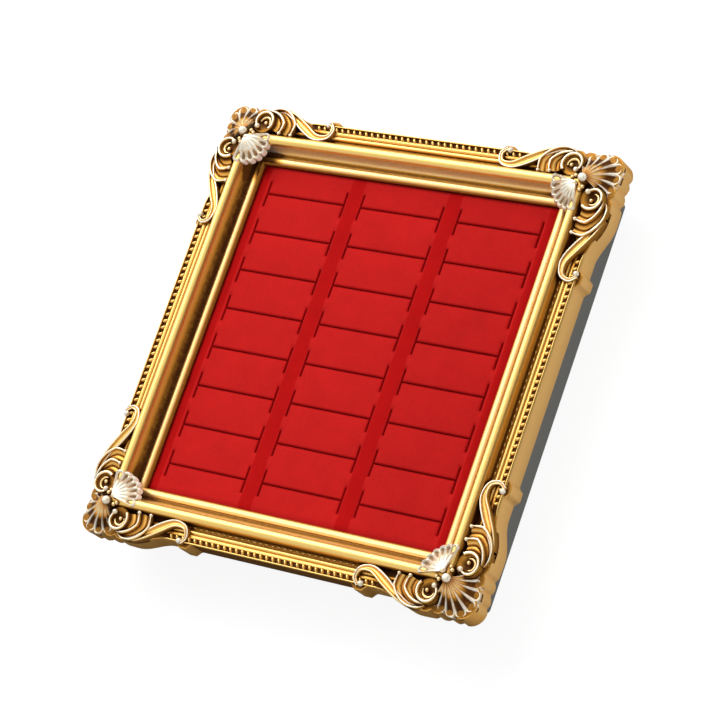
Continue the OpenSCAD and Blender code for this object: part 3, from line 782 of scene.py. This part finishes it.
def rimmed(half):
    """A half round of radius ARM_RIM at each edge and, between them, a channel that sinks by
    ARM_DEPTH times (1 - s^2)."""
    half = half[:, None]
    r = np.minimum(ARM_RIM, half * 0.45)
    f = np.linspace(np.pi, 0.25, 8)[None]
    s = np.linspace(-1, 1, 9)[None, 1:-1]
    inner = half - 2 * r
    left = (-half + r + r * np.cos(f), r * (1 - np.sin(f)))
    mid = (inner * s, r * 0.75 + ARM_DEPTH * np.minimum(1, inner / 1.5) * (1 - s * s))
    right = (-left[0][:, ::-1], left[1][:, ::-1])
    crest = np.broadcast_to(np.sin(f), left[0].shape)
    # Pale crests are wear and also a painted highlight, one rim fully and the other at about a
    # third; the channel darkens towards the rims as wax and also painted shade.
    worn = smooth((crest - 0.6) / 0.3)
    dark = np.broadcast_to(0.05 + 0.85 * np.abs(s) ** 3, mid[0].shape)
    side = 0.7 * (1 - smooth(crest / 0.6))
    across, drop = (np.concatenate([a, b, c], 1) for a, b, c in zip(left, mid, right))
    return (across, drop, np.concatenate([side, dark, side[:, ::-1]], 1),
            np.concatenate([worn * 0.35, np.zeros(mid[0].shape), worn[:, ::-1]], 1))


def through(stations, count):
    """A smooth curve through the stations (Catmull-Rom): each stretch is the cubic whose slope
    at a station is half the step between its two neighbours."""
    n = len(stations) - 1
    x = np.linspace(0, n, count)
    i = np.minimum(x.astype(int), n - 1)
    t = (x - i)[:, None]
    p, q, r, s = (stations[np.clip(i + k, 0, n)] for k in (-1, 0, 1, 2))
    square, cube = 2 * p - 5 * q + 4 * r - s, 3 * q - p - 3 * r + s
    return 0.5 * (2 * q + (r - p) * t + square * t ** 2 + cube * t ** 3)


def volute():
    """The raised ring: an open C of 264 degrees whose radius shrinks by a third towards the
    ball at its inner end, round a waxed bowl with a smaller curl and a bud in it."""
    s = np.linspace(0, 1, 90)
    r = (VOLUTE_R - 0.8) * (1 - 0.3 * s * s)
    path = polar(VOLUTE_AT, r, 38 - 264 * s, VOLUTE_H + 0.2 - 0.8 * s)
    ring = ribbon(path, 1.0 - 0.25 * s, half_round, CARVE_FLOOR)
    bowl = turned([0, 2, 4, 5.6, 6.8, 6.8, 0], [7.9, 8.1, 8.7, 9.6, 10.4, CARVE_FLOOR, CARVE_FLOOR],
                  36, patina=[1, 1, 0.85, 0.55, 0.8, 1, 1])
    curl = polar(VOLUTE_AT + [0.4, -0.2], 3.3, 20 - 200 * s, 9.9 - 0.6 * s)
    curl = ribbon(curl, 0.3 + 0.75 * np.sin(np.pi * s), half_round, CARVE_FLOOR)
    curl["finish"][1] *= 0.25
    eye = ball(1.6, (*path[-1, :2], VOLUTE_H - 0.7), (0.8, 6, 0.1), (7, 0.8))
    bud = ball(1.25, (*(VOLUTE_AT + [1.2, 0.4]), 9.4), (0.3, 4, 0.0), (5, 0.5, 0.9, 1))
    return [ring, placed(bowl, move=(*VOLUTE_AT, 0)), curl, eye, bud]


def rim_line(k, s):
    """Rim k of the bands, as polar coordinates about the volute that spread along the rail."""
    f = BAND_START + (BAND_TURN - 8 * k) * s
    grow = np.minimum(1, np.maximum(0, (f - BAND_START + 3)) / -BAND_START) ** BAND_GROW[k]
    z = BAND_H[k] - 2.4 * (1 - s) ** 2 * k / 2
    return polar(VOLUTE_AT, VOLUTE_R + BAND_REACH[k] * grow, f, z)


def gauss(v, middle, width):
    """exp(-((v - middle) / width)^2)"""
    return np.exp(-((v - middle) / width) ** 2)


def bands():
    """Between each two rims a channel that sinks by HOLLOW (1 - (2v - 1)^2), with a scored line
    near its middle, and on each outer rim a half round that ends in a ball."""
    made = []
    s = np.linspace(0, 1, 48)
    v = np.linspace(0, 1, 25)[None, :]
    for k in (1, 2):
        low, high = rim_line(k - 1, s)[:, None], rim_line(k, s)[:, None]
        top = low * (1 - v[..., None]) + high * v[..., None]
        sink = (1 - (2 * v - 1) ** 2) * np.minimum(1, 3 * s + 0.3)[:, None]
        scored = gauss(v, 0.56, 0.07) * smooth(s * 4)[:, None]
        top[..., 2] -= 0.5 + HOLLOW * sink + 0.7 * scored
        # Wax along both rims and in the scored line; the heavier dark by the rim farther from the
        # volute is also painted shade.
        dark = 0.1 + gauss(v, 0.1, 0.2) + 0.85 * gauss(v, 0.97, 0.14) + 0.8 * scored
        made.append(block_under(top, floor=CARVE_FLOOR, patina=np.clip(dark, 0, 1)))
        half = 0.78 * np.minimum(1, np.minimum(0.25 + 3 * s, 0.35 + 4 * (1 - s)))
        made.append(ribbon(rim_line(k, s), half, half_round, CARVE_FLOOR))
        made.append(ball(1.15, rim_line(k, 1.0) - [0, 0, 0.7], (0.7, 6, 0.1), (6, 0.8)))
    return made


def arm():
    """The S-shaped arm with its two rims, and the ball in its hook."""
    curve = through(ARM, 110)
    strip = ribbon(curve[:, :3] + [0, 0, 0.3], curve[:, 3], rimmed, CARVE_FLOOR)
    return [strip, ball(1.7, (65.4, 0.4, EDGE_TOP - 0.2), (0.9, 7, 0.1), (7, 0.8))]


# %% [markdown]
# ## Four corners from one
# Each corner is symmetric about its diagonal, and the four are mirror images. The forms are
# worked out once, mirrored across the diagonal, and then mirrored into the four corners. A
# mirror turns a shell inside out, so its faces are turned back by the sign of its volume. The
# outer walls on the near side get a little more dark, as painted shade.

# %% Corners


def both_rails(shells):
    """The shells, and their mirror images across the corner's diagonal."""
    return shells + [facing_out(dict(s, points=s["points"][:, [1, 0, 2]])) for s in shells]


def four_corners(shells):
    """The shells at all four corners."""
    return [placed(s, scale=(sx, sy, 1), move=(-sx * outer[0], -sy * outer[1], 0))
            for sx in (-1, 1) for sy in (-1, 1) for s in shells]


grounds = four_corners([carving_ground()])
for s in grounds:
    patina, _, flat = s["finish"]
    # Painted shade on the carving's near outer walls.
    near_wall = s["points"][:, 1] < 0.8 - outer[1]
    s["finish"][0] = np.clip(patina + 0.12 * flat * near_wall, 0, 1)
pieces.append(to_object("carving_grounds", grounds, gilding, crease=48))
for label, forms in (
    ("palmettes", [palmette()]),
    ("scallop_shells", [scallop()]),
    ("pearls", pearls()),
    ("volutes", both_rails(volute())),
    ("crescent_bands", both_rails(bands())),
    ("scroll_arms", both_rails(arm())),
):
    pieces.append(to_object(label, four_corners(forms), gilding, crease=48))

for piece in pieces:
    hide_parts("frame")

# %% [markdown]
# ## Velvet
# The cushion is cloth over firm foam, glued tight, so nothing in it billows. What shows is the
# knife work: an H-shaped cut for each row of rings, right through cloth and foam, whose lips
# roll in until they almost meet. The cloth is a sheet with a grid that crowds round the cuts.
# Grid cells inside a cut are left out and walled, which makes real slits, and the cloth in
# and round each cut is painted a darker red as shade. The pile lies one way on the panels and
# is pressed smooth in bands between them.

# %% Slot pattern
COL_PITCH, ROW_PITCH, SLOT_W, END_CUT, CUT_W = 65.0, 24.0, 53.6, 15.2, 0.8
COLS, ROWS = 3, 8
VELVET_T = 1.0
col_x = (np.arange(COLS) - (COLS - 1) / 2) * COL_PITCH
row_y = (np.arange(ROWS) - (ROWS - 1) / 2) * ROW_PITCH
cushion = np.array([cover_high[0], cover_high[1]]) / MM
end_x = (col_x[:, None] + np.array([-1, 1]) * SLOT_W / 2).ravel()


def crowded(half, marks, reach, spacing):
    """Grid lines from -half to half at an even spacing, with more of them near each mark."""
    near = np.concatenate([marks + d for r in reach for d in (-r, r)])
    lines = np.concatenate([np.linspace(-half, half, int(2 * half / spacing) + 1), near])
    lines = np.unique(np.round(lines, 3))
    fixed = np.round(near, 3)
    gap = np.diff(lines, prepend=-1e9)
    keep = (gap > 0.12) | np.isin(lines, fixed)
    return lines[keep & (np.abs(lines) <= half + 1e-6)]


def box_distance(x, y, middle_x, middle_y, half_x, half_y):
    """Distance from a rectangle's edge, negative inside it."""
    dx, dy = np.abs(x - middle_x) - half_x, np.abs(y - middle_y) - half_y
    return np.hypot(np.maximum(dx, 0), np.maximum(dy, 0)) + np.minimum(np.maximum(dx, dy), 0)


def cut_distance(x, y):
    """Distance from the nearest cut of the whole pattern: each slot is one long cut with a
    short one across each end."""
    far = np.full(np.broadcast(x, y).shape, 99.0)
    for places, half_x, half_y in ((col_x, SLOT_W / 2, CUT_W / 2), (end_x, CUT_W / 2, END_CUT / 2)):
        for cx in places:
            for cy in row_y:
                far = np.minimum(far, box_distance(x, y, cx, cy, half_x, half_y))
    return far


# %% Velvet surface
CUT_GAP = 0.15
REACH = (CUT_GAP, CUT_W / 2, 0.7, 1.1, 1.7, 2.5)
GRID_STEP = 2.0
SHEET_EDGE = 1.5
BEND_DROP = 0.75
tips = np.concatenate([row_y - END_CUT / 2, row_y + END_CUT / 2])
xs = crowded(cushion[0] - SHEET_EDGE, end_x, REACH, GRID_STEP)
ys = crowded(cushion[1] - SHEET_EDGE, row_y, REACH, GRID_STEP)
ys = np.unique(np.round(np.concatenate([ys] + [tips + d for d in (0, -0.5, 0.5, -0.25, 0.25)]), 3))
x, y = np.meshgrid(xs, ys, indexing="ij")
distance = cut_distance(x, y)
row_gap = np.min(np.abs(y[..., None] - row_y), -1)
plump = 0.22 * smooth(row_gap / 9) * smooth((distance - 0.3) / 4)
lip = -0.5 * np.exp(-np.maximum(distance, 0) / 0.6) - 0.5 * smooth(-distance / 0.25)
sway = 0.05 * np.sin(x * 0.21 + 0.7) * np.sin(y * 0.17 + 1.9) + 0.03 * np.sin(x * 0.63 + y * 0.41)
rim_distance = box_distance(x, y, 0, 0, opening[0] - 4.5, opening[1] - 4.5)
dip = -BEND_DROP * smooth((rim_distance - 3.0) / 1.6)
z = plump + lip + sway + dip
cell_x, cell_y = np.meshgrid((xs[1:] + xs[:-1]) / 2, (ys[1:] + ys[:-1]) / 2, indexing="ij")
cloth_here = cut_distance(cell_x, cell_y) > CUT_GAP - CUT_W / 2

# %% Velvet sheet


def cloth_sheet(x, y, z, thick, keep):
    """A sheet on a grid with some cells left out: upper and lower skins, and a wall wherever a
    kept cell borders one that isn't."""
    n, m = x.shape
    count = n * m
    top = grid_quads(n, m).reshape(n - 1, m - 1, 4)
    pad = np.pad(keep, 1)
    walls = []
    for di, dj, a, b in ((-1, 0, 0, 1), (0, 1, 1, 2), (1, 0, 2, 3), (0, -1, 3, 0)):
        neighbour = pad[1 + di:1 + di + keep.shape[0], 1 + dj:1 + dj + keep.shape[1]]
        a, b = top[keep & ~neighbour][:, [a, b]].T
        walls.append(np.stack([a, b, b + count, a + count], 1)[:, ::-1])
    quads = np.concatenate([top[keep], (top[keep] + count)[:, ::-1]] + walls)
    points = np.concatenate([np.stack([x, y, h], -1).reshape(-1, 3) for h in (z, z - thick)])
    used = np.unique(quads)
    renumber = np.zeros(2 * count, int)
    renumber[used] = np.arange(len(used))
    return points[used], renumber[quads], used


points, quads, used = cloth_sheet(x, y, z, np.maximum(z + VELVET_T, 0.25), cloth_here)
pressed = smooth((np.abs(x) - end_x.max() - 1.6) / 0.5)
for band_x in (col_x[1:] + col_x[:-1]) / 2:
    past_band = np.abs(x - band_x) - (COL_PITCH - SLOT_W) / 2 + 1.4
    pressed = np.maximum(pressed, 1 - smooth(past_band / 0.5))
pressed = np.concatenate([pressed.ravel(), pressed.ravel()])[used]
# Painted shade in and round each cut.
cut_shade = np.clip(1.15 - distance / 0.8, 0, 1)
cut_shade = np.concatenate([cut_shade.ravel(), np.ones(x.size)])[used]
sheet = facing_out(shell(points, quads, patina=cut_shade, worn=pressed))


def turned_edge():
    """The cloth's turned-down side: an L-shaped strip with a rounded bend, carried round the
    four corners, from the face to the card below the foam."""
    low = cover_low[2] / MM - FACE
    bend = arc((-2.0, -2.0), (2.0, 2.0), 90, 0, 8)
    back = arc((-2.0, -2.0), (1.0, 1.0), 0, 90, 8)
    strip = np.concatenate([[[-3.0, 0.0]], bend, [[0, low], [-VELVET_T, low]], back,
                            [[-3.0, -VELVET_T]]])
    corner = signs[:, None, :] * (cushion + strip[None, :, :1])
    up = np.broadcast_to(strip[None, :, 1:], corner.shape[:2] + (1,))
    ring = np.concatenate([corner, up], -1)
    ring[..., 2] -= BEND_DROP * (ring[..., 2] > -2.5)
    quads = grid_quads(len(signs), len(strip), close_cols=True, close_rows=True)
    return facing_out(shell(ring, quads, worn=1.0))


# %% [markdown]
# Velvet is matt seen face on and catches light at a glancing angle, which the shader's sheen
# does. The pile itself is a fine noise, in colour and in bump.

# %% Velvet material
PANEL_RED = (0.64, 0.0135, 0.0125)
BAND_RED = (0.545, 0.004, 0.0045)
# The cuts' darker red is painted shade.
CUT_SHADE_RED = (0.42, 0.002, 0.003)
velvet, tree, pile = new_material("red_velvet")
nap = grain_of(tree, 1500, detail=3, rough=0.7)
cloud = grain_of(tree, 60, detail=3)
red = blend_of(tree, value_of(tree, "worn"), PANEL_RED, BAND_RED)
red = blend_of(tree, value_of(tree, "patina"), red, CUT_SHADE_RED)
uneven = plus(times(nap, 0.55), times(cloud, 0.28))
red = shade_of(tree, red, plus(uneven, 0.585))
feed(tree, pile, {
    "Base Color": red, "Roughness": 0.92, "Specular IOR Level": 0.1, "Sheen Weight": 0.12,
    "Sheen Roughness": 0.4, "Sheen Tint": (0.9, 0.12, 0.1),
    "Normal": bump_of(tree, nap, 0.5, 0.25 * MM),
})

cover = to_object("velvet", [sheet, turned_edge()], velvet, crease=60)
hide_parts("velvet_cover")

# %% [markdown]
# ## Pieces kept from the CAD
# The box, foam, card and screws are already right in shape. They only need their finishes:
# a fine-grained grey plastic, dark red open-celled foam, brown card with fibres, and steel.

# %% Plain materials


def grained(name, low, high, scale, roughness, bump, depth, metallic=0.0, stretch=(1, 1, 1),
            coarse=0.0):
    """A finish between two colours that follows one fine noise, with a bump of the same."""
    material, tree, surface = new_material(name)
    grain = grain_of(tree, scale, detail=4, stretch=stretch)
    ramp = new_node(tree, "MapRange", {"Value": grain, "From Min": 0.3, "From Max": 0.7})
    feed(tree, surface, {
        "Base Color": blend_of(tree, ramp, low, high), "Metallic": metallic,
        "Roughness": plus(times(grain, coarse), roughness),
        "Normal": bump_of(tree, grain, bump, depth),
    })
    return material


finishes = {
    "back_box": grained("grey_box", (0.115, 0.115, 0.108), (0.145, 0.145, 0.138),
                        1800, 0.5, 0.3, 0.1 * MM, coarse=0.2),
    "foam_pad": grained("cushion_foam", (0.20, 0.004, 0.004), (0.30, 0.008, 0.008),
                        900, 0.9, 0.8, 0.4 * MM),
    "pad_card": grained("pad_card", (0.30, 0.20, 0.11), (0.42, 0.30, 0.18),
                        700, 0.85, 0.4, 0.1 * MM, stretch=(1, 0.2, 1)),
    "box_screws": grained("screw_steel", (0.42, 0.42, 0.41), (0.62, 0.61, 0.59),
                          1500, 0.28, 0.2, 0.05 * MM, metallic=1.0, coarse=0.2),
}
for node_name, finish in finishes.items():
    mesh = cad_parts[node_name].data
    mesh.materials.clear()
    mesh.materials.append(finish)
    print(node_name, "finished in", finish.name)

# %% [markdown]
# ## Floor, light and camera
# The photograph's ground is plain white. The floor takes the object's shadow, and a little
# light that only the camera sees lifts it to white. Reflections see it white too, but for the
# part close to the object, which they see darkened as a painted shadow. Light comes mainly from
# beyond the upper left corner, with a wide soft lamp on the right that the outer walls catch.

# %% Floor
FLOOR_HALF = 3.0
FLOOR_LIFT = 0.9
NEAR, FAR, NEAR_LIFT = 0.2, 0.45, 0.1


def add_mesh(name, points, quads):
    """A plain mesh object in the scene."""
    mesh = bpy.data.meshes.new(name)
    mesh.from_pydata(points, [], quads)
    return in_scene(name, mesh)


edge = (-FLOOR_HALF, FLOOR_HALF)
floor = add_mesh("floor", [(a, b, 0) for b in edge for a in edge], [(0, 1, 3, 2)])
pale, tree, surface = new_material("pale_floor")
ray = tree.nodes.new("ShaderNodeLightPath").outputs
reflected = larger(ray["Is Glossy Ray"], ray["Is Transmission Ray"])
place = new_node(tree, "TexCoord", output="Object")
reach = new_node(tree, "VectorMath", {0: place}, "Value", operation="LENGTH")
# Close to the object the floor's reflected glow drops, as a painted shadow.
fall = {"Value": reach, "From Min": NEAR, "From Max": FAR,
        "To Min": NEAR_LIFT, "To Max": FLOOR_LIFT}
clear = times(reflected, new_node(tree, "MapRange", fall))
feed(tree, surface, {
    "Base Color": (0.15, 0.15, 0.15), "Roughness": 0.9, "Emission Color": (1, 1, 1),
    "Emission Strength": plus(times(ray["Is Camera Ray"], FLOOR_LIFT), clear),
})
floor.data.materials.append(pale)

# %% World
FILL, FILL_TILT = 0.27, 0.10
world = bpy.data.worlds.new("studio")
bpy.context.scene.world = world
world.use_nodes = True
tree = world.node_tree
ray = tree.nodes.new("ShaderNodeLightPath").outputs
direct = larger(ray["Is Camera Ray"], ray["Is Glossy Ray"])
direct = larger(direct, ray["Is Transmission Ray"])
way = new_node(tree, "TexCoord", output="Generated")
north = new_node(tree, "SeparateXYZ", {0: way}, "Y")
soft = plus(times(north, FILL_TILT), FILL)
level = plus(times(soft, minus(1.0, direct)), direct)
feed(tree, tree.nodes["Background"], {"Strength": level, "Color": (1, 1, 1)})

# %% Lamps


def lamp(name, toward, distance, size, power):
    """A rectangular soft lamp in the direction toward, aimed at the object's middle."""
    data = bpy.data.lights.new(name, "AREA")
    data.shape = "RECTANGLE"
    data.size, data.size_y = size
    data.energy = power
    obj = in_scene(name, data)
    way = np.array(toward, float) / np.linalg.norm(toward)
    side = np.cross((0, 0, 1), way)
    side /= np.linalg.norm(side)
    turn = np.stack([side, np.cross(way, side), way], 1)
    obj.matrix_world = Matrix.Translation(way * distance) @ Matrix(turn.tolist()).to_4x4()
    return obj


lamp("key", (-0.50, 0.58, 0.66), 3.4, (3.6, 2.7), 125)
side = lamp("side", (0.95, 0.05, 0.16), 1.5, (0.8, 0.25), 14)
side.visible_glossy = False

# %% [markdown]
# Polished metal shows what is round it. A dark card on the right, curved from the floor to half
# way up, which glows a very dark brown and which only reflections see, paints deep brown
# reflections into the gilding.

# %% Dark card
CARD_R, CARD_HALF, CARD_FROM, CARD_TO, CARD_STEPS = 1.25, 1.3, 0.3, 46, 12
card_turn = np.radians(np.linspace(CARD_FROM, CARD_TO, CARD_STEPS))[:, None]
card_y = np.array([-CARD_HALF, CARD_HALF])
card_points = np.broadcast_arrays(CARD_R * np.cos(card_turn), card_y, CARD_R * np.sin(card_turn))
card_points = np.stack(card_points, -1).reshape(-1, 3)
dark_card = add_mesh("dark_card", card_points.tolist(), grid_quads(CARD_STEPS, 2).tolist())
card_glow, tree, surface = new_material("dim_brown_card")
feed(tree, surface, {
    "Base Color": (0.01, 0.008, 0.006), "Roughness": 1.0,
    "Emission Color": (0.10, 0.045, 0.015), "Emission Strength": 1.0,
})
dark_card.data.materials.append(card_glow)
dark_card.visible_camera = False
dark_card.visible_diffuse = False
dark_card.visible_shadow = False

# %% [markdown]
# The camera's place, axes and lens come from the slots' corners in the photograph, fitted as a
# flat grid.

# %% Camera
CAMERA_AT = (0.918796, -0.38767, 1.371419)
CAMERA_RIGHT = (0.82301, 0.32354, -0.46688)
CAMERA_UP = (-0.15281, 0.91774, 0.36661)
CAMERA_BACK = (0.54709, -0.23038, 0.80475)
SENSOR_W, LENS = 36, 150.73
data = bpy.data.cameras.new("camera")
data.sensor_width = SENSOR_W
data.lens = LENS
camera = in_scene("camera", data)
axes = np.array([CAMERA_RIGHT, CAMERA_UP, CAMERA_BACK]).T
camera.matrix_world = Matrix.Translation(CAMERA_AT) @ Matrix(axes.tolist()).to_4x4()
bpy.context.scene.camera = camera
bpy.context.scene.view_settings.view_transform = "Standard"
